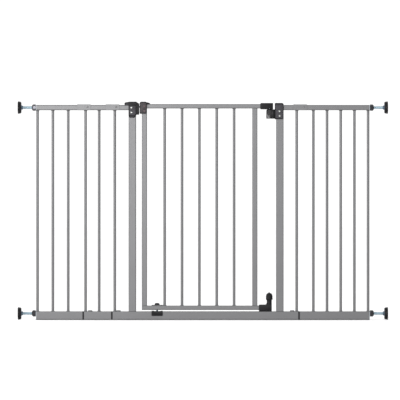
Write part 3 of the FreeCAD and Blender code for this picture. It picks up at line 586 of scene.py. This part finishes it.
# %% a cross-recess head
def screw_head(name, x, y, z, radius=3.25, height=1.8, shank=5.0, recess=1.25):
    """A pan head on the plane Y = y (mm), facing the front, with a stub of its shank."""
    dome = [(0, height)] + [(radius * math.sin(a), height * (0.25 + 0.75 * math.cos(a)))
                            for a in (math.radians(d) for d in (20, 40, 60, 78, 90))]
    profile = dome + [(radius, 0), (1.75, 0), (1.75, -shank), (0, -shank)]
    head = turned(name, profile, (x, y, z), "-y", 32, closed=False)
    arms = []
    for turn in (0, 90):
        arm = block(name + "_arm", (-0.42, 0.42), (-height - 0.6, -height + recess),
                    (-1.9, 1.9))
        for vertex in arm.data.vertices:
            if vertex.co.y > (-height + recess / 2) * MM:
                vertex.co.z *= 0.45
        arm.data.transform(Matrix.Translation(Vector((x, y, z)) * MM)
                           @ Matrix.Rotation(math.radians(turn), 4, "Y"))
        arms.append(arm)
    return smooth(carve(head, *arms), 32)


post_low, post_high = span("latch_post")
PLATE_FACE = span("hinge_bracket")[0].y
screw_low, screw_high = span("bracket_screws")
HEAD = 3.25
LATCH_SCREW_X = screw_low.x + HEAD
HINGE_SCREW_X = screw_high.x - HEAD
LATCH_SCREWS_Z = (733.0, 716.3)
HINGE_SCREWS_Z = (720.5, 704.2)
heads = [screw_head("latch_screw", LATCH_SCREW_X, PLATE_FACE, z) for z in LATCH_SCREWS_Z]
heads += [screw_head("hinge_screw", HINGE_SCREW_X, PLATE_FACE, z) for z in HINGE_SCREWS_Z]
stand_for(merge("bracket_screw_heads", heads), "bracket_screws", bright_zinc)
print("bracket screws at", round(LATCH_SCREW_X, 1), round(HINGE_SCREW_X, 1))

# %% [markdown]
# The two screws of the handle are dull and dark. Those of the joint channels are flatter and
# coated with the tubes, and the coat has nearly filled their recesses. On the bottom rail each
# joint is closed by a low round cap in the same grey. The channel screws and the caps are one
# CAD node, so they are one piece.

# %% handle screws, joint screws and caps
handle_low, handle_high = span("handle_body")
handle_screw_low, handle_screw_high = span("handle_screws")
HANDLE_SCREW_X = (handle_screw_low.x + handle_screw_high.x) / 2
heads = [screw_head("handle_screw", HANDLE_SCREW_X, handle_low.y, z)
         for z in (handle_screw_high.z - HEAD, handle_screw_low.z + HEAD)]
stand_for(merge("handle_screw_heads", heads), "handle_screws", dull_zinc)

sleeve_front = span("joint_sleeves")[0].y
main_low, main_high = span("main_bottom_rail")
inner_left = span("left_inner_bottom_rail")[0].x
JOINT_SCREWS_X = (inner_left + 12.25, main_low.x + 12.25, main_high.x + 19.65)
JOINT_SCREW_Z = 735.0
JOINT_CAPS_X = (inner_left + 21, main_low.x + 20, main_high.x - 20.6)
CAP_PROFILE = ([(8.0, 0), (8.0, 1.2)] + arc((5.2, 1.2), 2.8, 10, 80, 5)
               + [(3.0, 4.25), (0, 4.4)])


def joint_cap(x):
    return smooth(turned("cap", [(0, 0)] + CAP_PROFILE, (x, 0, main_high.z), "z", 40, False), 30)


fasteners = [screw_head("sleeve_screw", x, sleeve_front, JOINT_SCREW_Z, height=1.1, shank=2.4,
                        recess=0.3) for x in JOINT_SCREWS_X]
fasteners += [joint_cap(x) for x in JOINT_CAPS_X]
fastener_piece = merge("joint_fasteners", fasteners)
stand_for(fastener_piece, "joint_screws", powder_coat)
print("fasteners", len(fastener_piece.data.polygons), "faces")

# %% [markdown]
# ## Latch housing
# The housing is a moulded cap that drops over the latch post. It has a plate on the front and
# on the back, a small wing over the top rail, and on the door side a block with the mouth that
# takes the bolt. The block is set back a little from the plates. Each is a slab with rounded
# corners; the post's space and the mouth are carved out of them.

# %% latch housing
house_low, house_high = span("latch_housing")
rail_top = span("main_top_rails")[1].z
POST_SPACE = (-12.55, 12.55)
BELOW_CAPS = 690
MOUTH_HALF_WIDTH = 6
MOUTH_Z = (732.4, 747.7)
MOUTH_BLOCK_BOTTOM = 709


def latch_housing():
    left, right, top, bottom = house_low.x, house_high.x, house_high.z, house_low.z
    plate_front = house_low.y
    cap = rounded([
        (left, rail_top + 0.3, 2.0), (left + 0.3, top - 3.2, 3.4), (left + 12.5, top - 1.0, 8),
        (left + 17, top, 4), (post_high.x + 1.4, top, 4), (post_high.x + 4.6, top - 4.2, 3),
        (post_high.x + 1.6, top - 12, 2), (post_high.x + 1.2, 708.5, 3),
        (post_high.x - 5.4, bottom, 3), (post_low.x + 3.4, bottom, 3),
        (post_low.x - 0.2, bottom + 6, 4), (post_low.x - 0.2, rail_top + 0.3, 0)])
    body = slab("latch_housing_body", cap, plate_front, -plate_front, 1.8, 4)
    mouth_block = slab("mouth_block", rounded([
        (post_high.x - 4, top - 2.2, 0.5), (post_high.x + 2, top - 1.4, 2),
        (right, top - 6.8, 2), (right, MOUTH_BLOCK_BOTTOM, 2),
        (post_high.x + 0.4, MOUTH_BLOCK_BOTTOM, 1),
        (post_high.x - 4, 720, 0.5)]), plate_front + 1.6, -plate_front - 1.6, 1.3, 3)
    tools = [block("post_space", (post_low.x - 6, post_high.x + 0.05), POST_SPACE,
                   (BELOW_CAPS, rail_top + 0.05)) for _ in (0, 1)]
    mouth = [block("mouth", (post_high.x + 1.2, right + 4),
                   (-MOUTH_HALF_WIDTH, MOUTH_HALF_WIDTH), MOUTH_Z) for _ in (0, 1)]
    body = carve(body, tools[0], mouth[0])
    mouth_block = carve(mouth_block, tools[1], mouth[1])
    seam = block("seam", (post_high.x + 0.6, post_high.x + 1.3), (-20, plate_front + 0.7),
                 (712, top - 9))
    body = carve(body, seam)
    # The front panel, a patch on the wing and a thin strip low down are sheets of lighter nylon just
    # proud of the plate: painted light on the lit front faces.
    panel_top, panel_bend, panel_bottom = 738.5, 711, 706.5
    panel = slab("panel", rounded([
        (post_low.x + 3.2, panel_top, 3), (post_high.x - 1.6, panel_top, 3),
        (post_high.x - 1.6, panel_bend, 3), (post_high.x - 6.5, panel_bottom, 3),
        (post_low.x + 6, panel_bottom, 3), (post_low.x + 3.2, panel_bend, 3)]),
        plate_front - 0.3, plate_front + 1, 0.3, 2)
    wing_base = 742.2
    wing = slab("lit_wing_patch", rounded([
        (left + 4, wing_base, 1.5), (left + 5, wing_base + 4.0, 1.5),
        (left + 13.5, wing_base + 5.3, 1.5), (left + 14, wing_base, 1.5)]),
        plate_front - 0.3, plate_front + 1, 0.3, 2)
    strip_top, strip_bottom = 702.6, 700.6
    foot = slab("lit_foot_strip", rounded([
        (post_low.x + 6.5, strip_top, 0.6), (post_low.x + 6.5, strip_bottom, 0.6),
        (post_high.x - 8, strip_bottom, 0.6), (post_high.x - 8, strip_top, 0.6)]),
        plate_front - 0.3, plate_front + 1, 0.2, 2)
    pieces = [smooth(piece) for piece in (body, mouth_block, panel, wing, foot)]
    return merge("latch_cap", pieces, [black_nylon] * 2 + [lit_face_nylon] * 3)


stand_for(latch_housing(), "latch_housing")
print("latch housing", [round(v, 1) for v in house_high - house_low])

# %% [markdown]
# ## Handle and thumb slide
# The handle is the part a hand closes on, so every edge is generously round. It sits over the
# corner of the door, with a tunnel under its roof. In the tunnel runs the thumb slide, whose
# tip shows as a thin curved wing on the right: pulling it back draws the bolt.

# %% handle and thumb slide
slide_low, slide_high = span("thumb_slide")
door_rail_low, door_rail_high = span("door_top_rail")
DOOR_TUBE_SPACE = (-9.03, 9.03)
TUNNEL_LEFT, TUNNEL_ROOF = -209.4, 752.1
TUNNEL_HALF_WIDTH = 7.4
WINDOW_HALF_WIDTH = 4.8
WINDOW_Z = (732.7, 739.8)


def handle():
    left, right, top, bottom = handle_low.x, handle_high.x, handle_high.z, handle_low.z
    shape = rounded([(left, bottom, 3), (right - 3, bottom, 3), (right, bottom + 4, 3),
                     (right, top - 4, 3), (right - 3.4, top, 5), (left + 3.5, top, 3.5),
                     (left, top - 4.5, 3)])
    grip = slab("grip", shape, handle_low.y, handle_high.y, 3.2, 5)
    roof = door_rail_high.z
    carve(grip, block("rail_space", (door_rail_low.x, right + 4), DOOR_TUBE_SPACE,
                      (bottom - 4, roof)),
          block("tunnel", (TUNNEL_LEFT, right + 4), (-TUNNEL_HALF_WIDTH, TUNNEL_HALF_WIDTH),
                (roof - 1, TUNNEL_ROOF)),
          block("window", (left - 4, door_rail_low.x + 1),
                (-WINDOW_HALF_WIDTH, WINDOW_HALF_WIDTH), WINDOW_Z))
    # The front panel is a sheet of lighter, warmer nylon just proud of the grip: painted light on
    # the lit front face.
    panel = slab("panel", rounded([
        (left + 2.2, bottom + 3.2, 2), (right - 2.0, bottom + 3.2, 2), (right - 2.0, top - 6, 3),
        (right - 5, top - 3.4, 4), (left + 4, top - 3.4, 3), (left + 2.2, top - 6, 3)]),
        handle_low.y - 0.25, handle_low.y + 1, 0.25, 2)
    return merge("door_grip", [smooth(grip), smooth(panel)], [black_nylon, lit_warm_face_nylon])


def thumb_slide():
    left, right = slide_low.x, slide_high.x
    base = door_rail_high.z + 0.3
    wing = slab("wing", rounded([
        (left, base, 0.5), (right - 0.2, base, 0.9), (right, base + 2.5, 1.2),
        (right - 5, base + 4.6, 8), (right - 11, base + 6.0, 6), (left, base + 6.0, 0.5)], 8),
        -6.9, 6.9, 0.8, 3)
    stem = block("stem", (left + 3, left + 10), (-2.7, 2.7), (slide_low.z, base + 1))
    return merge("slide_wing", [smooth(wing), stem])


stand_for(handle(), "handle_body")
stand_for(thumb_slide(), "thumb_slide")
print("handle and slide")

# %% [markdown]
# ## Top hinge
# The hinge bracket is a cap like the latch housing, with a lug on the door side. The lug ends
# in an upright barrel, and the door's arm rests above it with its pin in the barrel. Between
# the arm and the bracket stays the narrow gap that the arm's corner needs to turn in.

# %% top hinge
bracket_low, bracket_high = span("hinge_bracket")
hinge_low, hinge_high = span("hinge_post")
arm_low, arm_high = span("top_hinge_arm")
pin_low, pin_high = span("top_hinge_pin")
HINGE_X = (pin_low.x + pin_high.x) / 2
LUG_RADIUS = HINGE_X - bracket_low.x
LUG_BOTTOM, LUG_TOP = 695.2, arm_low.z - 0.3
CAP_OFFSET = 19.3


def hinge_bracket():
    left = HINGE_X + CAP_OFFSET
    cap = slab("bracket_cap", rounded([
        (left, bracket_low.z, 2), (hinge_high.x, bracket_low.z, 2.5),
        (hinge_high.x, bracket_high.z, 6), (left, bracket_high.z, 2)]),
        bracket_low.y, bracket_high.y, 1.8, 4)
    carve(cap, block("post_space", (hinge_low.x, hinge_high.x + 6), POST_SPACE,
                     (BELOW_CAPS - 10, rail_top + 0.05)))
    barrel = turned("barrel", [(4.1, LUG_BOTTOM), (LUG_RADIUS - 1, LUG_BOTTOM),
                               (LUG_RADIUS, LUG_BOTTOM + 1), (LUG_RADIUS, LUG_TOP - 4),
                               (LUG_RADIUS - 2.6, LUG_TOP), (4.1, LUG_TOP)],
                    (HINGE_X, 0, 0), "z", 56)
    web = slab("web", rounded([(HINGE_X + 6, LUG_BOTTOM, 0), (left + 1, LUG_BOTTOM, 0),
                               (left + 1, LUG_TOP, 0), (HINGE_X + 6, LUG_TOP, 0)]), -8, 8, 0.8, 2)
    ribs = [slab("rib", rounded([(HINGE_X + 9, z, 0), (left + 1, z, 0), (left + 1, z + 2, 0),
                                 (HINGE_X + 9, z + 2, 0)]), -9.6, 9.6, 0.5, 2)
            for z in (LUG_BOTTOM + 2, LUG_BOTTOM + 14, LUG_TOP - 4.5)]
    # The front panel is a sheet of lighter nylon just proud of the cap: painted light on the lit
    # front face.
    panel = slab("panel", rounded([
        (left + 2.6, bracket_low.z + 3, 2), (hinge_high.x - 2.6, bracket_low.z + 3, 2),
        (hinge_high.x - 2.6, bracket_high.z - 5, 4), (left + 2.6, bracket_high.z - 5, 2)]),
        bracket_low.y - 0.3, bracket_low.y + 1, 0.3, 2)
    pieces = [smooth(piece) for piece in [cap, barrel, web, panel] + ribs]
    return merge("bracket_and_lug", pieces,
                 [black_nylon, worn_nylon, black_nylon, lit_face_nylon] + [black_nylon] * len(ribs))


def top_arm():
    body = slab("arm", rounded([(arm_low.x, arm_low.z, 4), (arm_high.x, arm_low.z, 2),
                                (arm_high.x, arm_high.z, 2.5), (arm_low.x, arm_high.z, 5)]),
                arm_low.y, arm_high.y, 1.8, 4)
    carve(body, block("rail_space", (arm_low.x - 4, door_rail_high.x), DOOR_TUBE_SPACE,
                      (door_rail_low.z - 0.03, door_rail_high.z + 0.03)))
    return smooth(body)


stand_for(hinge_bracket(), "hinge_bracket")
stand_for(top_arm(), "top_hinge_arm")
print("top hinge at x", round(HINGE_X, 1))

# %% [markdown]
# ## Bottom hinge
# The door's weight stands on an L-shaped arm. Its tower slides on a hexagonal bush when the
# door is lifted, and a domed cap with a small peak closes it over the self-closing spring. The
# cap flares where it meets the tower, so water and crumbs stay out.

# %% bottom hinge
foot_low, foot_high = span("bottom_hinge_arm")
cap_low, cap_high = span("hinge_cap")
low_rail_low, low_rail_high = span("door_bottom_rail")
TOWER_RADIUS = foot_high.x - HINGE_X
BUSH_SPACE = 7.65


def bottom_arm():
    block_top = 52.4
    body = slab("foot_block", rounded([(foot_low.x, foot_low.z, 1), (foot_high.x, foot_low.z, 1.5),
                                       (foot_high.x, block_top, 1.5), (foot_low.x, block_top, 3)]),
                foot_low.y, foot_high.y, 1.8, 4)
    bush_tool = turned("bush_tool", [(0, 0), (BUSH_SPACE, 0), (BUSH_SPACE, 60), (0, 60)],
                       (HINGE_X, 0, 20), "z", 48, closed=False)
    carve(body, block("rail_space", (foot_low.x - 4, low_rail_high.x), DOOR_TUBE_SPACE,
                      (low_rail_low.z - 0.03, low_rail_high.z + 0.03)), bush_tool)
    tower = turned("tower", [(BUSH_SPACE, 45), (TOWER_RADIUS, 45), (TOWER_RADIUS, cap_low.z - 1),
                             (TOWER_RADIUS - 0.6, cap_low.z), (BUSH_SPACE, cap_low.z)],
                   (HINGE_X, 0, 0), "z", 56)
    gusset = slab("gusset", [Vector((HINGE_X - TOWER_RADIUS + 0.6, block_top + 7)) * MM,
                             Vector((HINGE_X - TOWER_RADIUS + 0.6, block_top - 1)) * MM,
                             Vector((HINGE_X - TOWER_RADIUS - 7, block_top - 1)) * MM,
                             Vector((HINGE_X - TOWER_RADIUS - 2, block_top + 1.6)) * MM],
                  -4, 4, 0.6, 2)
    return merge("arm_and_tower", [smooth(piece) for piece in (body, tower, gusset)])


def domed_cap():
    bottom, top, widest = cap_low.z, cap_high.z, cap_high.x - HINGE_X
    outside = [(8.6, bottom), (9.6, bottom), (widest - 0.5, bottom + 1.8), (widest, bottom + 3.2),
               (widest - 0.2, bottom + 5), (widest - 0.9, bottom + 7.6),
               (widest - 1.0, bottom + 14), (widest - 1.4, bottom + 17.8),
               (widest - 2.6, bottom + 20.6), (widest - 5.0, bottom + 22.8),
               (widest - 7.8, bottom + 24.2), (2.6, top - 1.5), (1.2, top - 0.3), (0, top)]
    inside = [(0, top - 2.6), (4, top - 3.8), (7.6, top - 7), (8.2, bottom + 12),
              (8.5, bottom + 3)]
    dome = turned("dome", outside + inside, (HINGE_X, 0, 0), "z", 64)
    ribs = []
    for turn in range(0, 360, 45):
        rib = slab("rib", [Vector((widest - 1.2, bottom + 7.5)) * MM,
                           Vector((widest - 0.4, bottom + 9)) * MM,
                           Vector((widest - 0.5, bottom + 14)) * MM,
                           Vector((widest - 1.8, bottom + 17.5)) * MM], -1.1, 1.1, 0.25, 2)
        rib.data.transform(Matrix.Translation((HINGE_X * MM, 0, 0))
                           @ Matrix.Rotation(math.radians(turn), 4, "Z"))
        ribs.append(rib)
    return merge("hinge_dome", [smooth(piece) for piece in [dome] + ribs])


stand_for(bottom_arm(), "bottom_hinge_arm")
stand_for(domed_cap(), "hinge_cap")
print("bottom hinge, cap radius", round(cap_high.x - HINGE_X, 1))

# %% [markdown]
# ## Foot lock
# A keeper is saddled over the bottom rail. Its two ends stand up a little and the middle dips,
# which guides the pin back into its hole. Above it, on the door's rail, a flat plate carries a
# smooth black knob on the pin.

# %% foot lock
keeper_low, keeper_high = span("lock_keeper")
knob_low, knob_high = span("lock_pin_knob")
LOCK_X = (knob_low.x + knob_high.x) / 2


def keeper():
    left, right, bottom, top = keeper_low.x, keeper_high.x, keeper_low.z, keeper_high.z
    saddle = slab("saddle", rounded([
        (left, bottom, 2.5), (right, bottom, 2.5), (right, top, 1.6), (LOCK_X + 13, top, 1.5),
        (LOCK_X + 10, top - 1.1, 2), (LOCK_X - 10, top - 1.1, 2), (LOCK_X - 13, top, 1.5),
        (left, top, 1.6)]), keeper_low.y, keeper_high.y, 1.4, 4)
    hole = turned("hole", [(0, 0), (5, 0), (5, 12), (0, 12)], (LOCK_X, 0, 24), "z", 40, False)
    return smooth(carve(saddle, block("rail_space", (left - 4, right + 4), (-12.52, 12.52),
                                      (-5, main_high.z)), hole))


def knob():
    bottom, top, radius = knob_low.z, knob_high.z, knob_high.x - LOCK_X
    height = top - bottom
    profile = [(3.0, bottom), (radius - 0.4, bottom), (radius, bottom + 0.5),
               (radius - 0.1, bottom + 1.4)]
    profile += [((radius - 0.2) * math.cos(math.radians(a)) ** 0.7,
                 bottom + 1.4 + (height - 1.7) * math.sin(math.radians(a)) ** 0.7)
                for a in (12, 26, 40, 54, 68, 80)]
    profile += [(0, top - 0.3), (0, bottom + 4.5), (3.0, bottom + 4.5)]
    return smooth(turned("lock_knob", profile, (LOCK_X, 0, 0), "z", 48), 30)


stand_for(keeper(), "lock_keeper")
stand_for(knob(), "lock_pin_knob")
paint(nodes["lock_pin_plate"], dark_grey_and_weld_shade)
paint(nodes["lock_pin"], slate_zinc)
print("foot lock at x", round(LOCK_X, 1))

# %% [markdown]
# ## Latch spring
# Inside the door's top rail a compression spring pushes the bolt out. It is round wire swept
# along a helix whose first and last turns close up, as real springs do so that they stand flat.
# The CAD spring keeps its length when the bolt is drawn, and this one stands for it as it is at
# rest, 28 mm long. With the bolt drawn by 9.5 mm the real spring closes to 18.3 mm; this one
# keeps its shape.

# %% latch spring
SPRING_TURNS = 10
TURN_STEPS = 24
WIRE_STEPS = 8
WIRE_RADIUS = 0.5
END_CLOSING = 0.55


def latch_spring():
    lowest, highest = span("latch_spring")
    centre_z = (lowest.z + highest.z) / 2
    coil_radius = (highest.z - lowest.z) / 2 - WIRE_RADIUS
    reach = highest.x - lowest.x - 2 * WIRE_RADIUS
    steps = SPRING_TURNS * TURN_STEPS
    bm = bmesh.new()
    rings = []
    for i in range(steps + 1):
        share = i / steps
        angle = 2 * math.pi * i / TURN_STEPS
        closed = share - END_CLOSING * math.sin(2 * math.pi * share) / (2 * math.pi)
        outward = Vector((0, math.cos(angle), math.sin(angle)))
        middle = Vector((lowest.x + WIRE_RADIUS + reach * closed, 0, centre_z))
        middle += outward * coil_radius
        ring = []
        for j in range(WIRE_STEPS):
            around = 2 * math.pi * j / WIRE_STEPS
            offset = outward * math.cos(around) + Vector((1, 0, 0)) * math.sin(around)
            ring.append(bm.verts.new((middle + offset * WIRE_RADIUS) * MM))
        rings.append(ring)
    for ring, following in zip(rings, rings[1:]):
        for j in range(WIRE_STEPS):
            k = (j + 1) % WIRE_STEPS
            bm.faces.new((ring[j], ring[k], following[k], following[j]))
    bm.faces.new(rings[0])
    bm.faces.new(rings[-1])
    return smooth(new_object("latch_spring_wire", bm), 60)


spring = latch_spring()
spring_low, spring_high = span("latch_spring")
stand_for(spring, "latch_spring")
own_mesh(spring)
print("latch spring", round(spring_high.x - spring_low.x, 1), "mm")

# %% [markdown]
# ## Welds
# A bar is welded where it meets a rail, and under powder coat the weld is a small smooth collar.
# The collars are turned rings, one at each end of each bar. Their places come from the CAD
# node: its outer bars give the first and last place, and the others are spaced evenly. The upper
# collars are painted a darker grey: painted shade for the shadow in the corner under a rail.

# %% weld collars
BAR_RADIUS = 4.75
COLLAR = [(4.6, 0), (6.7, 0), (6.5, 0.5), (5.8, 1.2), (5.2, 2.0), (4.85, 3.0), (4.6, 3.1)]
UPPER_COLLAR = [(radius, -rise) for radius, rise in COLLAR]


def collars(node_name, bar_count):
    lowest, highest = span(node_name)
    first, last = lowest.x + BAR_RADIUS, highest.x - BAR_RADIUS
    rings = []
    for k in range(bar_count):
        x = first + (last - first) * k / (bar_count - 1)
        rings.append(smooth(turned("collar", COLLAR, (x, 0, lowest.z), "z", 28), 60))
        rings.append(smooth(turned("collar", UPPER_COLLAR, (x, 0, highest.z), "z", 28), 60))
    # the upper collars take the darker grey: painted shade in the corner under the rail
    piece = merge(node_name + "_weld_collars", rings, [powder_coat, dark_grey_and_weld_shade] * bar_count)
    return dress(piece, body_of[node_name], "grey_steel")


BAR_COUNTS = {"left_outer_bars": 3, "left_inner_bars": 2, "right_bars": 5,
              "main_side_bars": 2, "door_bars": 5}
for node_name, bar_count in BAR_COUNTS.items():
    collars(node_name, bar_count)
print("weld collars on", sum(BAR_COUNTS.values()), "bars")
